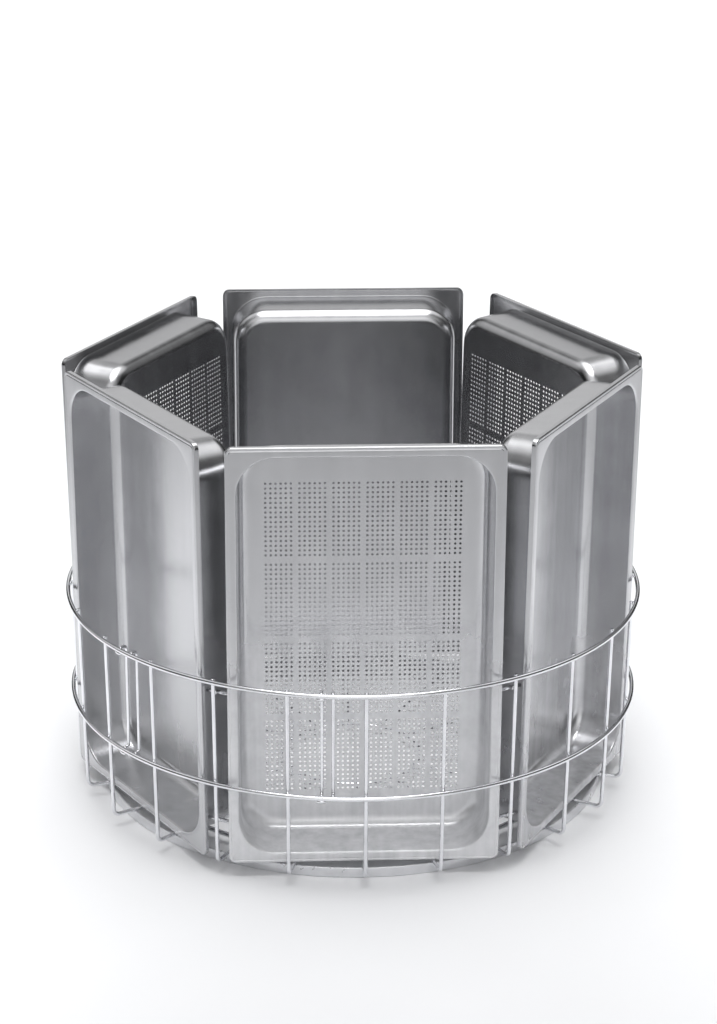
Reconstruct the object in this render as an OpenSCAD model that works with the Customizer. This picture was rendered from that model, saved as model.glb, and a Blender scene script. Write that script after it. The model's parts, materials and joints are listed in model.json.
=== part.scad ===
// Round stainless wire wash basket carrying six gastronorm pans on end.
// Millimetres, +Z up, origin on the floor under the middle of the basket, front towards -Y.

/* [Pans] */
// Width of a pan over its rim
pan_w = 325; // [305:1:335]
// Length of a pan over its rim, which stands upright
pan_l = 530; // [480:1:560]
// Depth of a pan from the rim's face to the outside of its floor
pan_depth = 65; // [50:1:80]
// Thickness of the pressed sheet
sheet = 1; // [0.8:0.1:1.2]
// Width of the flat rim
rim_w = 10.5; // [8:0.5:14]
// Depth of the turned edge of the rim
lip_depth = 6; // [5:0.5:9]
// Outer corner radius of the rim
rim_corner_r = 9; // [6:0.5:12]
// Corner radius of a pan's opening
opening_corner_r = 48; // [44:1:55]
// Radius that rolls the rim into the wall
rim_roll_r = 2.5; // [2:0.5:4]
// How far a wall slopes in between the rim and the floor bend
wall_draft = 3; // [1:0.5:8]
// Inside radius of the bend between wall and floor
floor_bend_r = 12; // [8:1:18]

/* [Perforation] */
// Diameter of a drain hole
hole_d = 3; // [2:0.1:4]
// Blocks of holes across a perforated floor
block_cols = 6; // [4:1:6]
// Blocks of holes along a perforated floor
block_rows = 4; // [3:1:4]
// Distance between blocks across the floor
block_pitch_across = 40; // [38:0.1:42]
// Distance between blocks along the floor
block_pitch_along = 102; // [90:1:104]
// Drain holes across one block
holes_across = 3; // [2:1:3]
// Drain holes along one block
holes_along = 4; // [3:1:4]
// Distance between holes across a block
hole_pitch_across = 12; // [10:0.1:13]
// Distance between holes along a block
hole_pitch_along = 24; // [20:0.1:26]

/* [Basket] */
// Gap between the rims of two neighbouring pans, straight across a corner of the basket
corner_gap = 33.95; // [24:0.05:45]
// Height of the upper hoop's centre line
upper_hoop_z = 256.5; // [240:0.5:280]
// Height of the middle hoop's centre line
middle_hoop_z = 123; // [110:0.5:140]
// Wire diameter of the hoops
hoop_wire = 6; // [5:0.5:7]
// Wire diameter of the uprights
upright_wire = 5; // [4:0.5:6]
// Number of uprights round each pan's side of the basket
uprights_per_side = 4; // [2:2:4]
// Angle by which the uprights spread outwards
taper_angle = 1.2; // [0:0.1:1.4]
// Height of the upright's cut end above the upper hoop's centre line
upright_over = 3; // [1:0.5:4]
// Centre line radius of the bend at the foot of an upright
foot_bend_r = 8; // [5:0.5:10]
// How far the outside of the flat base band lies inside the upper hoop
band_inset = 39.5; // [35:0.5:50]
// Height of the flat base band
band_h = 12.5; // [10:0.5:16]
// Thickness of the flat base band
band_t = 3; // [2:0.5:4]
// How far the inner floor hoop lies inside the base band
floor_hoop_inset = 46.5; // [30:0.5:60]
// Centre line radius of the hub ring
hub_ring_r = 90; // [70:1:120]
// How far a floor wire runs on past the ring that carries its inner end
floor_wire_over = 6; // [4:0.5:10]

/* [Keepers and stays] */
// Wire diameter of the rim keepers
keeper_wire = 5; // [4:0.5:6]
// Height of the upper rim keepers
upper_keeper_z = 236; // [225:0.5:240]
// Height of the lower rim keepers
lower_keeper_z = 67.5; // [50:0.5:90]
// How far a keeper reaches behind the edge of a rim
keeper_reach = 6; // [4:0.5:8]
// How far a keeper's stub rises from the cross wire to the upright
keeper_rise = 4; // [1:0.5:6]
// Wire diameter of the stays
stay_wire = 4; // [3:0.5:4.5]
// How far the upright part of a stay lies inside the middle hoop
stay_inset = 9; // [9:0.5:15]
// Height of a stay's ends above the centre lines of the hoops that they meet
stay_rise = 2; // [0:0.5:2.5]
// Distance between the two stays of the front pair
stay_gap = 13.5; // [12:0.5:16]
// Distance between the two stays of the side pair
stay_gap_side = 21; // [15:0.5:24]
// Angle of a pair of stays from the basket's corner
stay_angle = 22.6; // [20:0.1:24]
// Centre line radius of the bends in a stay
stay_bend_r = 5; // [3:0.5:5]

/* [Fits] */
// Outward lean of the front pan
front_lean_angle = 0; // [0:0.1:1.4]
// Outward lean of the two pans beside it
side_lean_angle = 0.6; // [0:0.1:1.4]
// Outward lean of the three rear pans
rear_lean_angle = 1.3; // [0.2:0.1:1.8]
// Gap between a rim's edge and the nearer hoop
rim_clear = 0.5; // [0.3:0.1:1]
// Gap between a rim and the keepers behind it
keeper_clear = 0.6; // [0.4:0.1:1]
// Gap between a pan's foot and the floor wires
foot_clear = 0.3; // [0.2:0.1:0.5]
// Gap left for the weld between two wires
weld_gap = 0.1; // [0.05:0.01:0.2]
// How much thinner a wire is drawn in its bends
bend_draw = 0.04; // [0.02:0.01:0.1]

/* [Hidden] */
$fn = 48;
bend_lap = 0.05;
sides = 6;
side_angle = 360 / sides;
corner_angle = side_angle / 2;
wire_count = sides * uprights_per_side;
wire_step = 360 / wire_count;
rear_pans = [2, 3, 4];
perforated_pans = [0, 2, 4];
pan_names = ["front_perforated_pan", "front_right_pan", "rear_right_perforated_pan",
  "rear_pan", "rear_left_perforated_pan", "front_left_pan"];

// Levels of the floor wires
floor_wire_z = band_h + weld_gap + upright_wire / 2;
under_floor_z = band_h - hoop_wire / 2;

// Seat of the pans, from their width and the gap at the corners
pan_seat_r = corner_gap / (2 * sin(corner_angle)) + pan_w / 2 / tan(corner_angle);
pan_foot_z = floor_wire_z + upright_wire / 2 + foot_clear;
most_lean = max(front_lean_angle, side_lean_angle, rear_lean_angle);

// Radii of the wires, which pass just clear of the rims
upper_hoop_r = max(hoop_at(upper_hoop_z),
  hoop_at(middle_hoop_z) + (upper_hoop_z - middle_hoop_z) * tan(taper_angle));
middle_hoop_r = upper_hoop_r - (upper_hoop_z - middle_hoop_z) * tan(taper_angle);
band_r = upper_hoop_r - band_inset;
floor_hoop_r = band_r - floor_hoop_inset;
upright_top_r = upper_hoop_r - hoop_wire / 2 - upright_wire / 2 - weld_gap;
foot_turn = 90 - taper_angle;
foot_corner_r = upright_r(floor_wire_z);
foot_tangent = foot_bend_r * tan(foot_turn / 2);
foot_bend_at = foot_corner_r - foot_tangent;
upright_len = (upper_hoop_z + upright_over - floor_wire_z) / cos(taper_angle) - foot_tangent;

// Keepers, which pass behind the turned edges of two neighbouring rims
keeper_end_x = pan_w / 2 - keeper_reach;
keeper_r = (pan_seat_r - lip_depth - keeper_clear) * cos(corner_angle)
  + keeper_end_x * sin(corner_angle) - keeper_wire / 2;
keeper_half = (keeper_r * sin(corner_angle) - keeper_end_x) / cos(corner_angle);

// Stays, whose ends meet the inner sides of the two hoops
stay_r = middle_hoop_r - stay_inset;
stay_top_z = upper_hoop_z + stay_rise;
stay_low_z = middle_hoop_z + stay_rise;
stay_turn = stay_gap / stay_r * 90 / PI;
stay_turn_side = stay_gap_side / stay_r * 180 / PI;
stay_at = [-corner_angle + stay_angle - stay_turn, -corner_angle + stay_angle + stay_turn,
  -corner_angle - stay_angle - stay_turn, -corner_angle - stay_angle - stay_turn + stay_turn_side];

// Pan sections, measured from the centre of an opening corner
centre_x = pan_w / 2 - rim_w - opening_corner_r;
centre_y = pan_l / 2 - rim_w - opening_corner_r;
wall_top_at = opening_corner_r - rim_roll_r;
floor_at = wall_top_at - wall_draft - floor_bend_r;
bend_z = pan_depth - sheet - floor_bend_r;
bend_steps = 8;
roll_steps = 4;

function upright_r(z) = upright_top_r - (upper_hoop_z - z) * tan(taper_angle);
function hoop_at(z) = norm([pan_seat_r + (z - pan_foot_z) * tan(most_lean), pan_w / 2])
  + rim_clear + hoop_wire / 2;
function lean_of(k) = len(search(k, rear_pans)) > 0 ? rear_lean_angle
  : k == 0 ? front_lean_angle : side_lean_angle;
function perforated(k) = len(search(k, perforated_pans)) > 0;
function two_digits(i) = i < 10 ? str("0", i) : str(i);
function upright_name(i) = str("upright_wire_", two_digits(i + 1));
function upper_keeper_name(i) = str("upper_rim_keeper_", i + 1);
function lower_keeper_name(i) = str("lower_rim_keeper_", i + 1);
function stay_name(i) = str("stay_wire_", i + 1);

// Arc of points in the section plane, as [distance from the corner centre, height]
function arc(x, z, r, from, to, steps) =
  [for (i = [0:steps]) let (a = from + (to - from) * i / steps) [x + r * cos(a), z + r * sin(a)]];
inner_line = concat(
  arc(opening_corner_r, -rim_roll_r, rim_roll_r, 90, 180, roll_steps),
  arc(floor_at, -bend_z, floor_bend_r, 0, -90, bend_steps));
outer_line = concat(
  arc(floor_at, -bend_z, floor_bend_r + sheet, -90, 0, bend_steps),
  arc(opening_corner_r, -rim_roll_r, rim_roll_r - sheet, 180, 90, roll_steps));
wall_section = concat(inner_line, outer_line);

// Wires

module wire_ring(r, z, d) {
  translate([0, 0, z])
    rotate_extrude($fn = 144)
      translate([r, 0])
        circle(d = d);
}

module upper_hoop() {
  color("silver") wire_ring(upper_hoop_r, upper_hoop_z, hoop_wire);
}

module middle_hoop() {
  color("silver") wire_ring(middle_hoop_r, middle_hoop_z, hoop_wire);
}

module inner_floor_hoop() {
  color("silver") wire_ring(floor_hoop_r, under_floor_z, hoop_wire);
}

module hub_ring() {
  color("silver") wire_ring(hub_ring_r, under_floor_z, hoop_wire);
}

module base_band() {
  color("gainsboro")
    rotate_extrude($fn = 144)
      translate([band_r - band_t, 0])
        square([band_t, band_h]);
}

// Curved stretch of wire, a little thinner than the straight stretches that lap into its ends
module wire_bend(r, turn, d) {
  rotate_extrude(angle = turn)
    translate([r, 0])
      circle(d = d - bend_draw);
}

// Turns a piece drawn along +X so that it stands at an angle from the front
module at_angle(a) {
  rotate([0, 0, a - 90]) children();
}

// One bent wire: the upright and the floor wire that runs in from its foot
module upright(i) {
  inner_ring_r = i % 2 == 0 ? hub_ring_r : floor_hoop_r;
  floor_len = foot_bend_at - inner_ring_r + floor_wire_over;
  color("lightgray")
    at_angle(i * wire_step)
      translate([foot_bend_at, 0, floor_wire_z + foot_bend_r])
        rotate([90, 0, 0]) {
          translate([bend_lap, -foot_bend_r, 0])
            rotate([0, -90, 0])
              cylinder(d = upright_wire, h = floor_len + bend_lap);
          rotate([0, 0, -90])
            wire_bend(foot_bend_r, foot_turn, upright_wire);
          rotate([0, 0, -taper_angle])
            translate([foot_bend_r, -bend_lap, 0])
              rotate([-90, 0, 0])
                cylinder(d = upright_wire, h = upright_len + bend_lap);
        }
}

// Cross wire behind two rims, on a short stub that rises to the corner upright
module rim_keeper(i, z) {
  stub_reach = upright_r(z) - upright_wire / 2 - weld_gap - keeper_r;
  rise_angle = atan(keeper_rise / stub_reach);
  stub_len = (stub_reach - keeper_wire / 2 * sin(rise_angle)) / cos(rise_angle);
  color("darkgray")
    at_angle(corner_angle + i * side_angle) {
      translate([keeper_r, 0, z])
        rotate([90, 0, 0])
          cylinder(d = keeper_wire, h = 2 * keeper_half, center = true);
      translate([keeper_r, 0, z])
        rotate([0, 90 - rise_angle, 0])
          cylinder(d = keeper_wire, h = stub_len);
    }
}

// End of a stay: a bend and a short straight run out to a hoop of radius r
module stay_end(z, up, r) {
  run = r - hoop_wire / 2 - weld_gap - stay_r - stay_bend_r;
  translate([stay_r + stay_bend_r, 0, z + up * stay_bend_r])
    rotate([90, 0, 0])
      rotate([0, 0, up > 0 ? 180 : 90])
        wire_bend(stay_bend_r, 90, stay_wire);
  translate([stay_r + stay_bend_r - bend_lap, 0, z])
    rotate([0, 90, 0])
      cylinder(d = stay_wire, h = run + bend_lap);
}

module stay(i) {
  color("gray")
    at_angle(stay_at[i]) {
      stay_end(stay_top_z, -1, upper_hoop_r);
      stay_end(stay_low_z, 1, middle_hoop_r);
      translate([stay_r, 0, stay_low_z + stay_bend_r - bend_lap])
        cylinder(d = stay_wire, h = stay_top_z - stay_low_z - 2 * stay_bend_r + 2 * bend_lap);
    }
}

// Pans, drawn lying with the rim's face at zero and the floor below it

module rounded_sheet(x, y, r, h) {
  linear_extrude(h)
    union() {
      square([x - 2 * r, y], center = true);
      square([x, y - 2 * r], center = true);
      for (sx = [-1, 1], sy = [-1, 1])
        translate([sx * (x / 2 - r), sy * (y / 2 - r)])
          circle(r = r);
    }
}

module rim() {
  opening_x = pan_w - 2 * rim_w;
  opening_y = pan_l - 2 * rim_w;
  difference() {
    translate([0, 0, -lip_depth])
      rounded_sheet(pan_w, pan_l, rim_corner_r, lip_depth);
    translate([0, 0, -lip_depth - sheet])
      rounded_sheet(pan_w - 2 * sheet, pan_l - 2 * sheet, rim_corner_r - sheet, lip_depth);
    translate([0, 0, -lip_depth - sheet])
      rounded_sheet(opening_x, opening_y, opening_corner_r, lip_depth + 2 * sheet);
  }
}

module wall_run(length) {
  rotate([90, 0, 0])
    linear_extrude(length, center = true)
      polygon(wall_section);
}

module walls() {
  for (s = [0, 180]) {
    rotate([0, 0, s])
      translate([centre_x, 0, 0])
        wall_run(2 * centre_y);
    rotate([0, 0, s])
      translate([0, centre_y, 0])
        rotate([0, 0, 90])
          wall_run(2 * centre_x);
  }
  for (sx = [0, 1], sy = [0, 1])
    mirror([sx, 0, 0])
      mirror([0, sy, 0])
        translate([centre_x, centre_y, 0])
          rotate_extrude(angle = 90)
            polygon(wall_section);
}

module drain_holes() {
  for (cx = [0:block_cols - 1], cy = [0:block_rows - 1])
    translate([(cx - (block_cols - 1) / 2) * block_pitch_across,
      (cy - (block_rows - 1) / 2) * block_pitch_along, -pan_depth])
      for (hx = [0:holes_across - 1], hy = [0:holes_along - 1])
        translate([(hx - (holes_across - 1) / 2) * hole_pitch_across,
          (hy - (holes_along - 1) / 2) * hole_pitch_along, 0])
          cylinder(d = hole_d, h = 4 * sheet, center = true);
}

module pan_floor(holes) {
  difference() {
    translate([0, 0, -pan_depth])
      rounded_sheet(2 * centre_x + 2 * floor_at, 2 * centre_y + 2 * floor_at, floor_at, sheet);
    if (holes)
      drain_holes();
  }
}

// Stands a pan on end in its place, leaning out by its own angle
module pan(k) {
  color(perforated(k) ? "lightsteelblue" : "lightgray")
    at_angle(k * side_angle)
      translate([pan_seat_r, 0, pan_foot_z])
        rotate([0, lean_of(k), 0])
          rotate([90, 0, 90])
            translate([0, pan_l / 2, 0])
              union() {
                rim();
                walls();
                pan_floor(perforated(k));
              }
}

upper_hoop();
middle_hoop();
base_band();
inner_floor_hoop();
hub_ring();
for (i = [0:wire_count - 1])
  upright(i);
for (i = [0:sides - 1])
  rim_keeper(i, upper_keeper_z);
for (i = [0:sides - 1])
  rim_keeper(i, lower_keeper_z);
for (i = [0:len(stay_at) - 1])
  stay(i);
for (k = [0:sides - 1])
  pan(k);
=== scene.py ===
# %% [markdown]
# # A round wire wash basket with six gastronorm pans
# This lesson dresses a packed construction model of a pot-washer basket. The basket is a cage of
# bright wire on a flat base band, and six steel pans stand on end round it with their openings outwards.
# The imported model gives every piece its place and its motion, so we load it first and only build looks on it.

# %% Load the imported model
import bpy, bmesh, json, math
import numpy as np
from mathutils import Matrix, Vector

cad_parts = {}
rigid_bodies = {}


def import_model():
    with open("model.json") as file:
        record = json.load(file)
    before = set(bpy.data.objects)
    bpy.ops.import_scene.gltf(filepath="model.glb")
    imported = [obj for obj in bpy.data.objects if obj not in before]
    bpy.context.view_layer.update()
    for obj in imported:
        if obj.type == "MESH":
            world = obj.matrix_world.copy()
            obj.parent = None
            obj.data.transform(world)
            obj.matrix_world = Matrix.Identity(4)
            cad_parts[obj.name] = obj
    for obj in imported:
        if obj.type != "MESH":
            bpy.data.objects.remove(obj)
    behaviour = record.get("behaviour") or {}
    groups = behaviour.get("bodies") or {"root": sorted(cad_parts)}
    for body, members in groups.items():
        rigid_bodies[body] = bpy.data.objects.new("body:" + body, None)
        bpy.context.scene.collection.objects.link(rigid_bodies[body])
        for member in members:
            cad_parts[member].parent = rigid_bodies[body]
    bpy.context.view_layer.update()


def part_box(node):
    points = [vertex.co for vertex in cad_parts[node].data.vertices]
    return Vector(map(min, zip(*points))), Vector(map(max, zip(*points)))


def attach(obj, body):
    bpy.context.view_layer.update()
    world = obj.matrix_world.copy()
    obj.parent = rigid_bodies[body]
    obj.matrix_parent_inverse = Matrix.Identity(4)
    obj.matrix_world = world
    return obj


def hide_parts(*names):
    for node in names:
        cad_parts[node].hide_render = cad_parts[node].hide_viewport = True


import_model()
for spare in [o for o in bpy.data.objects if o.name in ("Cube", "Light", "Camera")]:
    bpy.data.objects.remove(spare)

# %% [markdown]
# ## Sizes that everything shares
# A maker works from a short list of sizes, and so does this file. All lengths are in metres. The hoops,
# the base band and the front pan, which stands upright, are measured from the loaded nodes. So the dressed
# pieces always sit where the model has them. Only wire sizes and the angle of a corner are written here.

# %% Shared sizes
mm = 0.001
hoop_wire, upright_wire, keeper_wire, stay_wire = 6 * mm, 5 * mm, 5 * mm, 4 * mm
corner = math.radians(30)


def ring_size(node, wire):
    low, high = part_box(node)
    return float(high.y - low.y) / 2 - wire / 2, float(low.z + high.z) / 2


upper_r, upper_z = ring_size("upper_hoop", hoop_wire)
middle_r, middle_z = ring_size("middle_hoop", hoop_wire)
floor_r, floor_ring_z = ring_size("inner_floor_hoop", hoop_wire)
hub_r, _ = ring_size("hub_ring", hoop_wire)
band_r = float(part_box("base_band")[1].y)
band_h = float(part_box("base_band")[1].z)
pan_low, pan_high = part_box("front_perforated_pan")
pan_w, pan_depth, pan_l = [float(side) for side in pan_high - pan_low]
pan_seat, pan_foot = -float(pan_low.y), float(pan_low.z)
print("hoops", round(upper_r, 4), round(middle_r, 4), "floor ring", round(floor_r, 4))
print("band", round(band_r, 4), "pan", round(pan_w, 4), "by", round(pan_l, 4), "by", round(pan_depth, 4))

# %% [markdown]
# ## Steel finishes
# Stainless steel has almost no colour of its own: what we see is the room, blurred by fine scratches.
# So each finish is a metal with a nearly neutral colour, and the work goes into its roughness and bump.
# Noise stretched along one axis gives the drawn or brushed grain, and a slow noise gives handling marks.

# %% Helpers for node trees
def start_finish(name):
    finish = bpy.data.materials.new(name)
    finish.use_nodes = True
    tree = finish.node_tree
    shader = tree.nodes["Principled BSDF"]
    shader.inputs["Metallic"].default_value = 1.0
    return finish, tree, shader


def add_node(tree, kind, values=None, **settings):
    node = tree.nodes.new(kind)
    for key, value in settings.items():
        setattr(node, key, value)
    for key, value in (values or {}).items():
        node.inputs[key].default_value = value
    return node


def stretched_noise(tree, stretch, scale=1.0, detail=3.0, shift=(0, 0, 0)):
    place = add_node(tree, "ShaderNodeTexCoord")
    turn = add_node(tree, "ShaderNodeMapping", {"Scale": stretch, "Location": shift})
    noise = add_node(tree, "ShaderNodeTexNoise", {"Scale": scale, "Detail": detail, "Roughness": 0.55})
    tree.links.new(place.outputs["Object"], turn.inputs["Vector"])
    tree.links.new(turn.outputs["Vector"], noise.inputs["Vector"])
    return noise


def remap(tree, socket, low, high, start=0.3, stop=0.7):
    step = add_node(tree, "ShaderNodeMapRange",
                    {"From Min": start, "From Max": stop, "To Min": low, "To Max": high})
    tree.links.new(socket, step.inputs["Value"])
    return step.outputs["Result"]


def tint(tree, socket, dark, light, start=0.3, stop=0.7):
    ramp = add_node(tree, "ShaderNodeValToRGB")
    ramp.color_ramp.elements[0].position, ramp.color_ramp.elements[1].position = start, stop
    ramp.color_ramp.elements[0].color = (*dark, 1)
    ramp.color_ramp.elements[1].color = (*light, 1)
    tree.links.new(socket, ramp.inputs["Fac"])
    return ramp.outputs["Color"]


print("helpers ready")

# %% [markdown]
# ### Pressed sheet
# The pans are pressed from satin sheet. Its grain runs along the pan, so one noise is squeezed across
# and stretched along the pan's own length. Rubbing shows as soft clouds that are a little duller, and fine
# specks stand for pits. Hard water leaves a thin pale film, which grows towards the foot where drops ran
# down, so a matt layer is mixed in by height. Every pan gets its own shift, so no two pans look the same.
# The list below gives each pan its grey, where the three rear pans are darker as painted shade for the shade
# inside the load, then the share of film at its foot and above half height.

# %% Pan finish
def blend(tree, first, second, share):
    step = add_node(tree, "ShaderNodeMix", {"Factor": share}, data_type="FLOAT")
    tree.links.new(first, step.inputs["A"])
    tree.links.new(second, step.inputs["B"])
    return step.outputs["Result"]


dark_steel, light_steel = (0.925, 0.93, 0.955), (1.06, 1.065, 1.09)
clean, pit = (1, 1, 1), (0.95, 0.95, 0.95)
film_white, film_rough = (0.81, 0.815, 0.835, 1), 0.55
tone_span, pit_span = (0.34, 0.66), (0.66, 0.74)
film_from, film_to = -160 * mm, 60 * mm


def pan_finish(name, shift, grey, film_low, film_top):
    finish, tree, shader = start_finish(name)
    grain = stretched_noise(tree, (900, 14, 900), detail=2.0, shift=shift)
    streaks = stretched_noise(tree, (60, 2.2, 60), detail=2.0, shift=shift)
    clouds = stretched_noise(tree, (26, 20, 26), detail=5.0, shift=shift)
    specks = stretched_noise(tree, (420, 420, 420), detail=1.0, shift=shift)
    tone = blend(tree, streaks.outputs["Fac"], clouds.outputs["Fac"], 0.55)
    steel = tint(tree, tone, [grey * t for t in dark_steel], [grey * t for t in light_steel], *tone_span)
    pitted = add_node(tree, "ShaderNodeMix", data_type="RGBA", blend_type="MULTIPLY")
    pitted.inputs["Factor"].default_value = 1.0
    tree.links.new(steel, pitted.inputs["A"])
    tree.links.new(tint(tree, specks.outputs["Fac"], clean, pit, *pit_span), pitted.inputs["B"])
    tree.links.new(pitted.outputs["Result"], shader.inputs["Base Color"])
    tree.links.new(remap(tree, tone, 0.21, 0.27, *tone_span), shader.inputs["Roughness"])
    bump = add_node(tree, "ShaderNodeBump", {"Strength": 0.02, "Distance": 0.0004})
    tree.links.new(grain.outputs["Fac"], bump.inputs["Height"])
    tree.links.new(bump.outputs["Normal"], shader.inputs["Normal"])
    film = add_node(tree, "ShaderNodeBsdfPrincipled", {"Base Color": film_white, "Roughness": film_rough})
    spot = add_node(tree, "ShaderNodeSeparateXYZ")
    tree.links.new(add_node(tree, "ShaderNodeTexCoord").outputs["Object"], spot.inputs["Vector"])
    height = remap(tree, spot.outputs["Y"], film_low, film_top, film_from, film_to)
    patchy = add_node(tree, "ShaderNodeMath", operation="MULTIPLY")
    tree.links.new(height, patchy.inputs[0])
    tree.links.new(remap(tree, tone, 0.7, 1.3, *tone_span), patchy.inputs[1])
    layers = add_node(tree, "ShaderNodeMixShader")
    tree.links.new(patchy.outputs[0], layers.inputs["Fac"])
    tree.links.new(shader.outputs["BSDF"], layers.inputs[1])
    tree.links.new(film.outputs["BSDF"], layers.inputs[2])
    tree.links.new(layers.outputs["Shader"], tree.nodes["Material Output"].inputs["Surface"])
    return finish


# Painted shade: the three rear pans get a lower grey than the front three, for the shade they stand in.
painted_shade_and_film = {
    "front_perforated_pan": (0.57, 0.55, 0.03),
    "front_right_pan": (0.56, 0.22, 0.0),
    "rear_right_perforated_pan": (0.47, 0.0, 0.0),
    "rear_pan": (0.50, 0.0, 0.0),
    "rear_left_perforated_pan": (0.46, 0.0, 0.0),
    "front_left_pan": (0.54, 0.16, 0.0),
}
pan_steel = []
for k, shade_grey_and_film in enumerate(painted_shade_and_film.values()):
    pan_steel.append(pan_finish(f"satin_sheet_{k + 1}", (3.1 * k, 1.7 * k, 0.9 * k), *shade_grey_and_film))
print("pan finishes", len(pan_steel))

# %% [markdown]
# ### Drawn wire and flat bar
# Drawn wire is brighter than sheet, because the die burnishes it and the finished basket is electropolished.
# The bar of the base band is rolled and blasted, so it stays softer and paler, and is only partly metallic.
# Weld spots share the finish of the wire that they sit on.

# %% Wire and bar finishes
def wire_finish(name, dark, light, rough, grain_height, metal=1.0):
    finish, tree, shader = start_finish(name)
    shader.inputs["Metallic"].default_value = metal
    handling = stretched_noise(tree, (35, 35, 35), detail=3.0)
    pits = stretched_noise(tree, (900, 900, 900), detail=2.0)
    tree.links.new(tint(tree, handling.outputs["Fac"], dark, light), shader.inputs["Base Color"])
    tree.links.new(remap(tree, handling.outputs["Fac"], *rough), shader.inputs["Roughness"])
    bump = add_node(tree, "ShaderNodeBump", {"Strength": grain_height, "Distance": 0.0003})
    tree.links.new(pits.outputs["Fac"], bump.inputs["Height"])
    tree.links.new(bump.outputs["Normal"], shader.inputs["Normal"])
    return finish


drawn_wire = wire_finish("drawn_wire", (0.73, 0.735, 0.76), (0.83, 0.835, 0.86), (0.10, 0.18), 0.03)
rolled_bar = wire_finish("rolled_bar", (0.71, 0.715, 0.735), (0.81, 0.815, 0.835), (0.26, 0.36), 0.06,
                         metal=0.6)
print("wire finishes", drawn_wire.name, rolled_bar.name)

# %% [markdown]
# ## From points to a piece
# Every piece below is made the same way: points and faces from a formula, turned to a mesh, shaded smooth
# with sharp edges kept, given its finish, and tied to the body it moves with. One helper does that.

# %% The piece maker
def add_piece(name, points, faces, body, node, slot, finish, place=None, sharp=40):
    mesh = bpy.data.meshes.new(name)
    mesh.from_pydata([tuple(p) for p in points], [], [tuple(f) for f in faces])
    build = bmesh.new()
    build.from_mesh(mesh)
    bmesh.ops.recalc_face_normals(build, faces=build.faces)
    build.to_mesh(mesh)
    build.free()
    mesh.shade_smooth()
    mesh.set_sharp_from_angle(angle=math.radians(sharp))
    mesh.materials.append(finish)
    piece = bpy.data.objects.new(name, mesh)
    bpy.context.scene.collection.objects.link(piece)
    if place is not None:
        piece.matrix_world = place
    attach(piece, body)
    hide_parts(node)
    return piece


def turned(points, angle):
    """Turns points drawn along +X so that they stand at an angle from the front."""
    a = angle - math.pi / 2
    c, s = math.cos(a), math.sin(a)
    p = np.asarray(points, float)
    return np.c_[p[:, 0] * c - p[:, 1] * s, p[:, 0] * s + p[:, 1] * c, p[:, 2]]


def joined(*lumps):
    points, faces, count = [], [], 0
    for p, f in lumps:
        points.append(np.asarray(p, float))
        faces += [tuple(i + count for i in face) for face in f]
        count += len(p)
    return np.vstack(points), faces


print("piece maker ready")

# %% [markdown]
# ## Round wire
# A wire is a circle carried along a path. All paths here lie in a plane, so the circle is set up from that
# plane's normal and never twists. An open wire gets a small chamfer at each cut end, as cropping leaves it.
# Two small helpers draw the paths: a full circle for a hoop and an arc for a bend.

# %% The wire sweeper
def wire(path, thick, normal, closed=False, sides=20, cut=0.5 * mm):
    path = np.asarray(path, float)
    radii = np.full(len(path), thick / 2)
    if closed:
        ahead = np.roll(path, -1, 0) - np.roll(path, 1, 0)
    else:
        first = path[0] + (path[1] - path[0]) / np.linalg.norm(path[1] - path[0]) * cut
        last = path[-1] + (path[-2] - path[-1]) / np.linalg.norm(path[-2] - path[-1]) * cut
        path = np.vstack([path[:1], [first], path[1:-1], [last], path[-1:]])
        radii = np.r_[thick / 2 - cut, radii, thick / 2 - cut]
        ahead = np.gradient(path, axis=0)
    ahead /= np.linalg.norm(ahead, axis=1)[:, None]
    normal = np.asarray(normal, float)
    side = np.cross(normal, ahead)
    round_ = np.arange(sides) / sides * 2 * math.pi
    ring = np.cos(round_)[None, :, None] * side[:, None, :] + np.sin(round_)[None, :, None] * normal
    points = (path[:, None, :] + radii[:, None, None] * ring).reshape(-1, 3)
    n = len(path)
    faces = []
    for i in range(n if closed else n - 1):
        j = (i + 1) % n
        for k in range(sides):
            m = (k + 1) % sides
            faces.append((i * sides + k, i * sides + m, j * sides + m, j * sides + k))
    if not closed:
        faces += [tuple(range(sides)), tuple((n - 1) * sides + k for k in range(sides))]
    return points, faces


def circle_path(r, z, count=288):
    a = np.arange(count) / count * 2 * math.pi
    return np.c_[r * np.cos(a), r * np.sin(a), np.full(count, z)]


def arc(centre_x, centre_z, radius, start, sweep, steps):
    angles = start + sweep * np.arange(steps + 1) / steps
    return [(centre_x + radius * math.cos(a), 0, centre_z + radius * math.sin(a)) for a in angles]


print("wire sweeper ready")

# %% [markdown]
# ## Weld spots
# Where two wires cross they are resistance welded: the wires sink into each other a little and a small
# bead of steel stands round the contact. A flattened ball at each crossing gives that bead.

# %% The bead
def bead(centre, radii, angle, around=10, rings=6):
    points, faces = [], []
    for i in range(1, rings):
        lat = math.pi * i / rings
        for k in range(around):
            lon = 2 * math.pi * k / around
            points.append((radii[0] * math.sin(lat) * math.cos(lon), radii[1] * math.sin(lat) * math.sin(lon),
                           radii[2] * math.cos(lat)))
    points += [(0, 0, radii[2]), (0, 0, -radii[2])]
    top, low = len(points) - 2, len(points) - 1
    for i in range(rings - 2):
        for k in range(around):
            m = (k + 1) % around
            faces.append((i * around + k, i * around + m, (i + 1) * around + m, (i + 1) * around + k))
    for k in range(around):
        m = (k + 1) % around
        faces.append((top, k, m))
        faces.append((low, (rings - 2) * around + m, (rings - 2) * around + k))
    return turned(np.asarray(points) + np.asarray(centre), angle), faces


print("bead points", len(bead((0, 0, 0), (1, 1, 1), 0)[0]))

# %% [markdown]
# ## Hoops, floor rings and base band
# Two hoops go round the outside of the uprights and two rings lie under the floor wires. Each is one
# closed wire. The base band is a flat strip on edge, bent round and butt welded, with eased edges.

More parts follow.
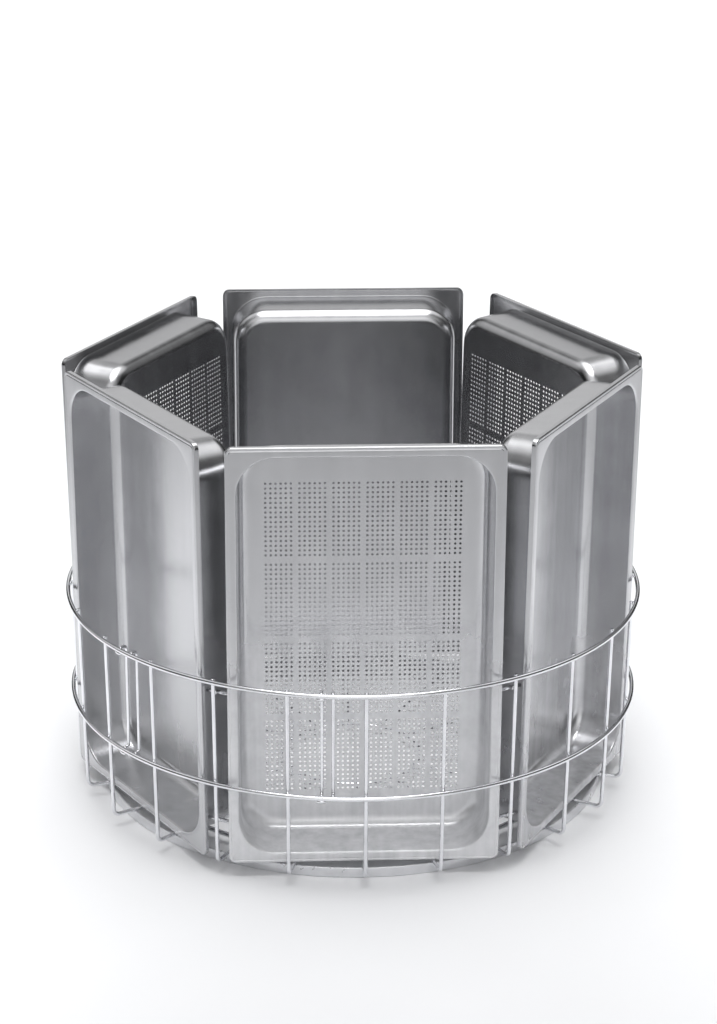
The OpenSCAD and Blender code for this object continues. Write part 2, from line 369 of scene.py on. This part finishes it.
# %% Rings of the basket
seam_at, seam_swell, seam_half = math.radians(187), 0.53, 1.2 * mm
for name, r, z in (("upper_hoop", upper_r, upper_z), ("middle_hoop", middle_r, middle_z),
                   ("inner_floor_hoop", floor_r, floor_ring_z), ("hub_ring", hub_r, floor_ring_z)):
    points, faces = wire(circle_path(r, z), hoop_wire, (0, 0, 1), closed=True)
    joint_seam = bead((r, 0, z), (hoop_wire * seam_swell, seam_half, hoop_wire * seam_swell), seam_at)
    add_piece(name + "_wire", *joined((points, faces), joint_seam), "basket", name, "basket_wire", drawn_wire)
    print(name, "radius", round(r, 4), "height", round(z, 4))

# %% Base band
band_t, ease, turns = 3 * mm, 0.6 * mm, 288
butt_at, butt_size = math.radians(200), (band_t * 0.62, 1.6 * mm, band_h * 0.5)
band_line = []
for cx, cz, a0 in ((band_r - ease, band_h - ease, 0), (band_r - band_t + ease, band_h - ease, 90),
                   (band_r - band_t + ease, ease, 180), (band_r - ease, ease, 270)):
    for step in range(4):
        a = math.radians(a0 + 30 * step)
        band_line.append((cx + ease * math.cos(a), cz + ease * math.sin(a)))
width = len(band_line)
turn_angles = [2 * math.pi * i / turns for i in range(turns)]
points = [(x * math.cos(a), x * math.sin(a), z) for a in turn_angles for x, z in band_line]
faces = [(i * width + k, i * width + (k + 1) % width, (i + 1) % turns * width + (k + 1) % width,
          (i + 1) % turns * width + k) for i in range(turns) for k in range(width)]
butt = bead((band_r - band_t / 2, 0, band_h / 2), butt_size, butt_at)
add_piece("base_band_strip", *joined((points, faces), butt), "basket", "base_band", "base_band", rolled_bar)
print("band", round(band_r, 4), "high", round(band_h, 4))

# %% [markdown]
# ## Uprights that turn in under the pans
# Each of the 24 bent wires is an upright and a floor wire in one. It hangs inside both hoops, leans out
# by a little over a degree, bends at the foot and runs in over the base band. Every second wire reaches the
# hub ring, and the others end at the inner floor ring.

# %% Upright wires
upright_count, weld_gap = 24, 0.1 * mm
taper, foot_bend, upright_over, wire_over = math.radians(1.2), 8 * mm, 3 * mm, 6 * mm
floor_wire_z = band_h + weld_gap + upright_wire / 2
upright_top_r = upper_r - hoop_wire / 2 - upright_wire / 2 - weld_gap
upright_heights = (80 * mm, 150 * mm, upper_z - 20 * mm, upper_z + upright_over)
hoop_weld, floor_weld = (1.5 * mm, 3.1 * mm, 3.3 * mm), (3.0 * mm, 3.2 * mm, 1.1 * mm)


def upright_r(z):
    return upright_top_r - (upper_z - z) * math.tan(taper)


def upright_path(inner_r):
    turn = math.pi / 2 - taper
    bend_at = upright_r(floor_wire_z) - foot_bend * math.tan(turn / 2)
    path = [(inner_r - wire_over, 0, floor_wire_z)]
    path += [(inner_r + (bend_at - inner_r) * t, 0, floor_wire_z) for t in (0.3, 0.65, 0.97)]
    path += arc(bend_at, floor_wire_z + foot_bend, foot_bend, -math.pi / 2, turn, 10)
    path += [(upright_r(z), 0, z) for z in upright_heights]
    return path


for i in range(upright_count):
    angle = 2 * math.pi * i / upright_count
    long_wire = i % 2 == 0
    points, faces = wire(upright_path(hub_r if long_wire else floor_r), upright_wire, (0, 1, 0))
    lumps = [(turned(points, angle), faces)]
    for r, z in ((upper_r, upper_z), (middle_r, middle_z)):
        lumps.append(bead((r - hoop_wire / 2, 0, z), hoop_weld, angle))
    rests = [band_r - band_t / 2, floor_r] + ([hub_r] if long_wire else [])
    for r in rests:
        lumps.append(bead((r, 0, band_h), floor_weld, angle))
    add_piece(f"bent_wire_{i + 1:02d}", *joined(*lumps), "basket", f"upright_wire_{i + 1:02d}",
              "basket_wire", drawn_wire)
print("uprights", upright_count, "top radius", round(upright_top_r, 4))

# %% [markdown]
# ## Rim keepers
# At each corner of the load a short cross wire sits behind the edges of two pans and keeps them from
# sliding in. It is a T: the cross wire, and a stub that rises a little to the corner upright.

# %% Keepers
lip_depth, keeper_rise, rim_lap, keeper_gap = 6 * mm, 4 * mm, 6 * mm, 0.6 * mm
stub_weld, stub_sink = (1.6 * mm, 3.0 * mm, 3.2 * mm), (0.3 * mm, 0, 0)
end_x, lip_back = pan_w / 2 - rim_lap, pan_seat - lip_depth - keeper_gap
keeper_r = lip_back * math.cos(corner) + end_x * math.sin(corner) - keeper_wire / 2
keeper_half = (keeper_r * math.sin(corner) - end_x) / math.cos(corner)
for row in ("upper", "lower"):
    for i in range(6):
        node = f"{row}_rim_keeper_{i + 1}"
        z, angle = float(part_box(node)[0].z) + keeper_wire / 2, corner + i * math.pi / 3
        stub_end = np.array([upright_r(z + keeper_rise) - upright_wire / 2, 0, z + keeper_rise])
        cross, cross_faces = wire([(keeper_r, y, z) for y in np.linspace(-keeper_half, keeper_half, 5)],
                                  keeper_wire, (0, 0, 1))
        stub_start = np.array([keeper_r, 0, z])
        stub, stub_faces = wire([stub_start + (stub_end - stub_start) * t for t in np.linspace(0, 1, 4)],
                                keeper_wire, (0, 1, 0))
        weld = bead(stub_end - stub_sink, stub_weld, angle)
        add_piece(f"keeper_{row}_{i + 1}", *joined((turned(cross, angle), cross_faces),
                  (turned(stub, angle), stub_faces), weld), "basket", node, "basket_wire", drawn_wire)
print("keepers 12, radius", round(keeper_r, 4), "half length", round(keeper_half, 4))

# %% [markdown]
# ## Stays
# Two pairs of thinner wires stand between the hoops, one pair on each side of the front left corner. Their
# ends bend out and meet the hoops from inside. The pair in front stands closer together than the pair at the
# side. The first wire of each pair also has a long run of weld under the hoop.

# %% Stays
stay_bend, stay_rise, stay_inset, stay_sink = 5 * mm, 2 * mm, 9 * mm, 0.3 * mm
stay_from_corner = math.radians(22.6)
short_weld, long_weld = (1.5 * mm, 2.7 * mm, 2.0 * mm), (2.4 * mm, 6.5 * mm, 2.6 * mm)
stay_r = middle_r - stay_inset
reach = hoop_wire / 2 - stay_sink
stay_top, stay_low = upper_z + stay_rise, middle_z + stay_rise
front_gap, side_gap = 13.5 * mm / stay_r, 21 * mm / stay_r
front_at, side_at = [side * stay_from_corner - corner - front_gap / 2 for side in (1, -1)]
stay_angles = [front_at, front_at + front_gap, side_at, side_at + side_gap]
for i, angle in enumerate(stay_angles):
    path = [(middle_r - reach, 0, stay_low)]
    path += arc(stay_r + stay_bend, stay_low + stay_bend, stay_bend, -math.pi / 2, -math.pi / 2, 8)
    path += [(stay_r, 0, stay_low + (stay_top - stay_low) * t) for t in (0.3, 0.7)]
    path += arc(stay_r + stay_bend, stay_top - stay_bend, stay_bend, math.pi, -math.pi / 2, 8)
    path.append((upper_r - reach, 0, stay_top))
    points, faces = wire(path, stay_wire, (0, 1, 0), sides=16)
    welds = []
    for r, z in ((upper_r, upper_z), (middle_r, middle_z)):
        welds.append(bead((r - hoop_wire * 0.45, 0, z + 1.2 * mm), short_weld, angle))
        if i % 2 == 0:
            welds.append(bead((r + 0.4 * mm, 0, z - hoop_wire * 0.62), long_weld, angle))
    add_piece(f"stay_{i + 1}", *joined((turned(points, angle), faces), *welds), "basket",
              f"stay_wire_{i + 1}", "basket_wire", drawn_wire)
print("stays", [round(math.degrees(a), 2) for a in stay_angles])

# %% [markdown]
# ## The section of a pan
# A gastronorm pan is one sheet, pressed in steps: a turned lip with a beaded edge and a fine groove beside
# it, a flat rim, a small roll, a steep wall and a round bend into the floor. We draw that section once as a
# line with rounded corners. Each point is an inset from the outer edge and a depth below the rim's face.
# The back of the sheet is the same line, moved by the sheet's thickness.

# %% Section line
sheet, rim_w, rim_corner, opening_corner, floor_in = 1 * mm, 10.5 * mm, 9 * mm, 48 * mm, 32 * mm


def rounded_line(points, radii, steps):
    line = []
    for i, (p, r, n) in enumerate(zip(points, radii, steps)):
        p = np.asarray(p, float)
        if r == 0:
            line.append(p)
            continue
        a = np.asarray(points[i - 1]) - p
        b = np.asarray(points[i + 1]) - p
        a, b = a / np.linalg.norm(a), b / np.linalg.norm(b)
        half = math.acos(float(np.clip(a @ b, -1, 1))) / 2
        centre = p + (a + b) / np.linalg.norm(a + b) * r / math.sin(half)
        start, stop = p + a * r / math.tan(half) - centre, p + b * r / math.tan(half) - centre
        t0, t1 = math.atan2(start[1], start[0]), math.atan2(stop[1], stop[0])
        t1 = t0 + (t1 - t0 + math.pi) % (2 * math.pi) - math.pi
        line += [centre + r * np.array([math.cos(t), math.sin(t)]) for t in np.linspace(t0, t1, n)]
    return np.array(line)


floor_depth = pan_depth - sheet
edge_r, groove_r, roll_r, bend_r = 1.6 * mm, 1.1 * mm, 2.5 * mm, 15 * mm
groove_in, groove_mid, groove_out, groove_depth = 4.8 * mm, 3.8 * mm, 2.7 * mm, 0.5 * mm
edge_end = 4.5 * mm
wall_in, wall_height = 3 * mm, 49.5 * mm
wall_slope = wall_in / wall_height
wall_top = rim_w + roll_r - roll_r * wall_slope
wall_foot = wall_top + floor_depth * wall_slope
section = rounded_line(
    [(floor_in, floor_depth), (wall_foot, floor_depth), (wall_top, 0), (groove_in, 0),
     (groove_mid, groove_depth), (groove_out, 0), (0, 0), (0, edge_end), (0, lip_depth)],
    [0, bend_r, roll_r, groove_r, groove_r * 0.7, groove_r, edge_r, 0, 0],
    [1, 14, 8, 4, 5, 4, 8, 1, 1])
along = np.gradient(section, axis=0)
along /= np.linalg.norm(along, axis=1)[:, None]
along[0], along[-1] = (-1, 0), (0, 1)
face_normal = np.c_[-along[:, 1], along[:, 0]]
back_section = section - face_normal * sheet
print("section points", len(section), "wall foot inset", round(wall_foot * 1000, 2), "mm")

# %% [markdown]
# ## Rings of points round a pan
# The section is carried round the pan as closed rings. A ring has points along its four sides and round
# its four corners, always in the same order, so ring after ring can be joined with four-sided faces. The
# outer corners are tight and the opening's corners are wide, so the radius grows across the rim.

# %% One ring
corner_steps, tight_to, least_corner = 12, 5 * mm, 1.5 * mm


def corner_radius(inset):
    if inset >= rim_w - 1e-9:
        return opening_corner - (inset - rim_w)
    if inset <= tight_to:
        return max(rim_corner - inset, least_corner)
    tight = rim_corner - tight_to
    return tight + (opening_corner - tight) * (inset - tight_to) / (rim_w - tight_to)


def pan_ring(inset, depth, side_x, side_y):
    hx, hy = pan_w / 2 - inset, pan_l / 2 - inset
    r = corner_radius(inset)
    sx, sy = hx - r, hy - r
    ring = []
    for quarter in range(4):
        share = side_y if quarter % 2 == 0 else side_x
        for t in share:
            ring.append([(hx, t * sy), (-t * sx, hy), (-hx, -t * sy), (t * sx, -hy)][quarter])
        cx, cy = [(sx, sy), (-sx, sy), (-sx, -sy), (sx, -sy)][quarter]
        for step in range(1, corner_steps):
            a = math.pi / 2 * (quarter + step / corner_steps)
            ring.append((cx + r * math.cos(a), cy + r * math.sin(a)))
    ring = np.array(ring)
    return np.c_[ring, np.full(len(ring), -depth)]


def ring_faces(first, second, count):
    return [(first + k, first + (k + 1) % count, second + (k + 1) % count, second + k) for k in range(count)]


print("ring size", len(pan_ring(floor_in, floor_depth, np.linspace(-1, 1, 9), np.linspace(-1, 1, 15))))

# %% [markdown]
# ## Drain holes
# Three of the pans have a perforated floor: 6 by 4 blocks, each with 6 by 16 holes of about 3 mm. They are
# real holes in the mesh, so light and the view pass through. Each hole sits in a square cell of 6 mm, and
# plain strips of 4 and 6 mm part the blocks. A cell is four faces round a twelve-sided hole, front and back.

# %% The lattice of cells
hole_pitch, hole_r, hole_sides = 6 * mm, 1.55 * mm, 12
across, along_count, blocks_across, blocks_along = 6, 16, 6, 4
strip_across, strip_along = 4 * mm, 6 * mm


def cell_edges(blocks, holes, strip):
    steps = ([hole_pitch] * holes + [strip]) * blocks
    edges = np.r_[0, np.cumsum(steps[:-1])]
    return edges - edges[-1] / 2


cells_x = cell_edges(blocks_across, across, strip_across)
cells_y = cell_edges(blocks_along, along_count, strip_along)


def hole_ring(cx, cy, z):
    angles = [math.radians(-45) + 2 * math.pi * k / hole_sides for k in range(hole_sides)]
    return [(cx + hole_r * math.cos(a), cy + hole_r * math.sin(a), z) for a in angles]


def drilled_sheet(front_z, back_z):
    nx, ny = len(cells_x), len(cells_y)
    points = [(x, y, z) for z in (front_z, back_z) for y in cells_y for x in cells_x]
    faces = []

    def corner_id(level, i, j):
        return level * nx * ny + j * nx + i

    def border_ids(level):
        right = [corner_id(level, nx - 1, j) for j in range(ny)]
        top = [corner_id(level, i, ny - 1) for i in range(nx - 2, -1, -1)]
        left = [corner_id(level, 0, j) for j in range(ny - 2, -1, -1)]
        foot = [corner_id(level, i, 0) for i in range(1, nx - 1)]
        return right + top + left + foot

    for j in range(ny - 1):
        for i in range(nx - 1):
            solid = i % (across + 1) == across or j % (along_count + 1) == along_count
            ring_at = len(points)
            if not solid:
                cx, cy = (cells_x[i] + cells_x[i + 1]) / 2, (cells_y[j] + cells_y[j + 1]) / 2
                points += hole_ring(cx, cy, front_z) + hole_ring(cx, cy, back_z)
            for level in (0, 1):
                square = [corner_id(level, i + 1, j), corner_id(level, i + 1, j + 1),
                          corner_id(level, i, j + 1), corner_id(level, i, j)]
                if solid:
                    faces.append(square if level == 0 else square[::-1])
                    continue
                for q in range(4):
                    quarter = [ring_at + level * hole_sides + (3 * q + s) % hole_sides for s in (3, 2, 1, 0)]
                    patch = [square[q], square[(q + 1) % 4]] + quarter
                    faces.append(patch if level == 0 else patch[::-1])
            if not solid:
                faces += ring_faces(ring_at, ring_at + hole_sides, hole_sides)
    return points, faces, [border_ids(level) for level in (0, 1)]


print("cells", (len(cells_x) - 1) * (len(cells_y) - 1),
      "holes", across * along_count * blocks_across * blocks_along)

# %% [markdown]
# ## Putting a pan together
# Front rings run from the floor out to the lip, and back rings run home again one sheet thickness behind.
# A plain floor is closed with smaller and smaller rings. A perforated floor is the drilled lattice, stitched
# to the first ring. A pressed floor is never dead flat, so a slow bulge is added to keep reflections alive.

# %% Floor of a pan
bulge_half_x, bulge_half_y, bulge_above, bulge_fade = 133 * mm, 235 * mm, 4 * mm, 2 * mm
floor_insets, round_until = (36, 46, 64, 80, 100, 120, 140, 155), 50


def floor_bulge(points, height):
    x, y = points[:, 0] / bulge_half_x, points[:, 1] / bulge_half_y
    lift = np.clip(1 - x ** 2, 0, 1) ** 2 * np.clip(1 - y ** 2, 0, 1) ** 2
    deep = np.clip((-points[:, 2] - floor_depth + bulge_above) / bulge_fade, 0, 1)
    points[:, 2] += lift * deep * height
    return points


def flat_ring(inset, depth, side_x, side_y):
    """A ring near the middle of the floor: the first floor ring, drawn smaller."""
    ring = pan_ring(floor_in, depth, side_x, side_y)
    ring[:, 0] *= (pan_w / 2 - inset) / (pan_w / 2 - floor_in)
    ring[:, 1] *= (pan_l / 2 - inset) / (pan_l / 2 - floor_in)
    return ring


def stitch(border, first, side_counts):
    """Joins a ring to the lattice border: side points pair up, and each corner is a fan."""
    faces, at, b = [], 0, 0
    total = sum(side_counts) + 4 * (corner_steps - 1)

    def ring_id(k):
        return first + k % total

    def border_id(k):
        return border[k % len(border)]

    for count in side_counts:
        for s in range(count - 1):
            faces.append((ring_id(at + s), ring_id(at + s + 1), border_id(b + s + 1), border_id(b + s)))
        b += count - 1
        at += count - 1
        for s in range(corner_steps):
            faces.append((ring_id(at + s), ring_id(at + s + 1), border_id(b)))
        at += corner_steps
    return faces


print("floor rings", len(floor_insets))

# %% Pan mesh
def pan_mesh(drilled, bulge):
    if drilled:
        side_x, side_y = cells_x / cells_x[-1], cells_y / cells_y[-1]
    else:
        side_x, side_y = np.linspace(-1, 1, 13), np.linspace(-1, 1, 21)
    rings = [pan_ring(i, d, side_x, side_y) for i, d in section]
    rings += [pan_ring(i, d, side_x, side_y) for i, d in back_section[::-1]]
    count = len(rings[0])
    faces = []
    for k in range(len(rings) - 1):
        faces += ring_faces(k * count, (k + 1) * count, count)
    last = (len(rings) - 1) * count
    points = np.vstack(rings)
    if drilled:
        more, more_faces, border = drilled_sheet(-floor_depth, -pan_depth)
        start = len(points)
        points = np.vstack([points, more])
        faces += [tuple(start + i for i in f) for f in more_faces]
        sides = [len(side_y), len(side_x)] * 2
        for level, first in ((0, 0), (1, last)):
            faces += stitch([start + i for i in border[level]], first, sides)
    else:
        for first, depth in ((0, floor_depth), (last, pan_depth)):
            before = first
            for inset in floor_insets:
                shape = pan_ring if inset < round_until else flat_ring
                here = len(points)
                points = np.vstack([points, shape(inset * mm, depth, side_x, side_y)])
                faces += ring_faces(before, here, count)
                before = here
            faces.append(tuple(range(before, before + count)))
    return floor_bulge(points, bulge), faces


plain_mesh, drilled_mesh = pan_mesh(False, 0.9 * mm), pan_mesh(True, 0.7 * mm)
print("plain pan faces", len(plain_mesh[1]), "perforated pan faces", len(drilled_mesh[1]))

# %% [markdown]
# ## Standing the pans in the basket
# Each pan stands on a short end, face outwards, one on each side of a hexagon. The front pan is upright,
# its two neighbours lean out by a little over half a degree and the rear three by twice that. The mesh is
# drawn lying flat, so it is first turned on end, then leaned, and then moved out to its side.

# %% Place the pans
leans = [0.0, 0.6, 1.3, 1.3, 1.3, 0.6]
quarter_turn = math.radians(90)
upended = (Matrix.Rotation(quarter_turn, 4, "Z") @ Matrix.Rotation(quarter_turn, 4, "X")
           @ Matrix.Translation((0, pan_l / 2, 0)))
for k, name in enumerate(painted_shade_and_film):
    side = Matrix.Rotation(math.radians(60 * k - 90), 4, "Z") @ Matrix.Translation((pan_seat, 0, pan_foot))
    place = side @ Matrix.Rotation(math.radians(leans[k]), 4, "Y") @ upended
    points, faces, slot = (*drilled_mesh, "perforated_pan") if k % 2 == 0 else (*plain_mesh, "plain_pan")
    add_piece(name + "_sheet", points, faces, name + "_body", name, slot, pan_steel[k], place, sharp=50)
    print(name, "leans", leans[k], "degrees")

# %% [markdown]
# ## Floor and light
# Steel looks like what surrounds it, so the light is built as a small studio. A wide pale floor stands for
# the table, with a faint mottle as paper has it. It lies a hair below the band, so that the two never share
# a plane.

# %% Floor
floor_half, floor_drop = 40.0, 0.5 * mm
paper_dark, paper_light = (0.89, 0.895, 0.91), (0.91, 0.915, 0.93)
mesh = bpy.data.meshes.new("studio_floor")
corners = [(x * floor_half, y * floor_half, 0) for x, y in ((-1, -1), (1, -1), (1, 1), (-1, 1))]
mesh.from_pydata(corners, [], [(0, 1, 2, 3)])
floor = bpy.data.objects.new("studio_floor", mesh)
bpy.context.scene.collection.objects.link(floor)
floor.location.z = -floor_drop
paper = bpy.data.materials.new("white_paper")
paper.use_nodes = True
paper_tree = paper.node_tree
paper_face = paper_tree.nodes["Principled BSDF"]
paper_face.inputs["Roughness"].default_value = 0.9
paper_face.inputs["Specular IOR Level"].default_value = 0.1
mottle = stretched_noise(paper_tree, (3, 3, 3), detail=2.0)
paper_tone = tint(paper_tree, mottle.outputs["Fac"], paper_dark, paper_light)
paper_tree.links.new(paper_tone, paper_face.inputs["Base Color"])
mesh.materials.append(paper)
print("floor", 2 * floor_half, "m wide")

# %% [markdown]
# ### Soft boxes
# Flat soft boxes hang above the floor and face down: one over the object, a long one over the floor behind
# it, and small ones over both sides and the front, where the box tips back a little. Area lamps with a narrow
# spread do this, because a real soft box with a grid also throws most of its light straight ahead.

# %% Soft boxes
def standing(side, up, back, place):
    """A placing matrix from three directions and a place."""
    return Matrix([(side[i], up[i], back[i], place[i]) for i in range(3)] + [(0, 0, 0, 1)])


def soft_box(name, size, place, aim, power, spread):
    lamp = bpy.data.lights.new(name, "AREA")
    lamp.shape, lamp.energy, lamp.spread = "RECTANGLE", power, math.radians(spread)
    lamp.size, lamp.size_y = size
    box = bpy.data.objects.new(name, lamp)
    bpy.context.scene.collection.objects.link(box)
    look = np.asarray(aim, float) - np.asarray(place, float)
    look /= np.linalg.norm(look)
    side = np.cross(look, (0, 1, 0))
    side /= np.linalg.norm(side)
    box.matrix_world = standing(side, np.cross(side, look), -look, place)


soft_box("near_box", (1.7, 2.5), place=(0, 0.45, 2.6), aim=(0, 0.45, 0), power=6.4, spread=70)
soft_box("far_box", (4.4, 7.4), place=(0, 5.0, 3.4), aim=(0, 5.0, 0), power=74, spread=70)
soft_box("front_box", (1.4, 0.9), place=(0, -0.6, 2.5), aim=(0, -0.2, 0), power=2.4, spread=80)
soft_box("left_box", (0.8, 1.6), place=(-0.95, -0.1, 2.2), aim=(-0.95, -0.1, 0), power=3.0, spread=45)
soft_box("right_box", (0.8, 1.6), place=(0.95, -0.1, 2.2), aim=(0.95, -0.1, 0), power=2.5, spread=45)

# %% [markdown]
# ### White screens in a dark room
# The room is dark, and soft round glows in the sky stand for white screens. Polished bends, rolls and wires
# pick them up as bright stripes, which is what makes steel look like steel. Screens stand high behind and at
# both sides, lower behind, and in front. Each row below has a height and a width in degrees, and then a
# strength for each bearing. A bearing of 0 is behind the object, 90 is right and 180 is in front.

# %% Sky with screens
screen_rows = [
    (60, 30, {0: 0.5, 60: 1.2, 300: 0.8}),
    (30, 28, {60: 0.25, 300: 0.65}),
    (30, 25, {0: 0.4}),
    (10, 25, {0: 0.55}),
    (90, 25, {0: 0.4}),
    (65, 25, {180: 0.15}),
    (45, 28, {120: 0.2, 240: 0.3}),
    (40, 28, {150: 0.4, 180: 0.75, 210: 0.65}),
    (12, 30, {180: 1.2}),
]


def screen_glow(tree, view_direction, bearing, height, width, strength):
    b, h = math.radians(bearing), math.radians(height)
    toward = (math.sin(b) * math.cos(h), math.cos(b) * math.cos(h), math.sin(h))
    facing = add_node(tree, "ShaderNodeVectorMath", {1: toward}, operation="DOT_PRODUCT")
    tree.links.new(view_direction, facing.inputs[0])
    edge = math.cos(math.radians(width))
    glow = add_node(tree, "ShaderNodeMapRange", {"From Min": edge, "To Max": strength},
                    interpolation_type="SMOOTHSTEP")
    tree.links.new(facing.outputs["Value"], glow.inputs["Value"])
    return glow.outputs["Result"]


sky = bpy.data.worlds.new("studio_sky")
bpy.context.scene.world = sky
sky.use_nodes = True
sky_tree = sky.node_tree
sky_direction = add_node(sky_tree, "ShaderNodeTexCoord").outputs["Generated"]
sky_total = add_node(sky_tree, "ShaderNodeValue").outputs[0]
sky_total.default_value = 0.0
for height, width, strengths in screen_rows:
    for bearing, strength in strengths.items():
        glow = screen_glow(sky_tree, sky_direction, bearing, height, width, strength)
        more = add_node(sky_tree, "ShaderNodeMath", operation="ADD")
        sky_tree.links.new(sky_total, more.inputs[0])
        sky_tree.links.new(glow, more.inputs[1])
        sky_total = more.outputs[0]
sky_tree.links.new(sky_total, sky_tree.nodes["Background"].inputs["Color"])
print("screens", sum(len(strengths) for _, _, strengths in screen_rows))

# %% [markdown]
# ## Camera
# The view was found by fitting the rims, hoops and wires: a long lens from a little under four metres,
# looking down by about 21 degrees, with the basket turned by under three degrees.

# %% Camera
elevation, turn, roll = [math.radians(angle) for angle in (20.8372, -2.7586, 0.2862)]
distance, aim = 3.63772, np.array([6.483 * mm, 0, 348.564 * mm])
sensor_mm, picture_px, focal_px = 36.0, 1024, 2867.64
back = np.array([0, -math.cos(elevation), math.sin(elevation)])
right = np.array([1.0, 0, 0])
up = np.cross(back, right)
right, up = right * math.cos(roll) + up * math.sin(roll), up * math.cos(roll) - right * math.sin(roll)
lens = bpy.data.cameras.new("view")
lens.sensor_width, lens.lens = sensor_mm, focal_px / picture_px * sensor_mm
lens.clip_end = 100
view = bpy.data.objects.new("view", lens)
bpy.context.scene.collection.objects.link(view)
view.matrix_world = Matrix.Rotation(turn, 4, "Z") @ standing(right, up, back, aim + back * distance)
bpy.context.scene.camera = view
bpy.context.scene.view_settings.view_transform = "Standard"
print("lens", round(lens.lens, 2), "mm")

# %% Update the scene
bpy.context.view_layer.update()
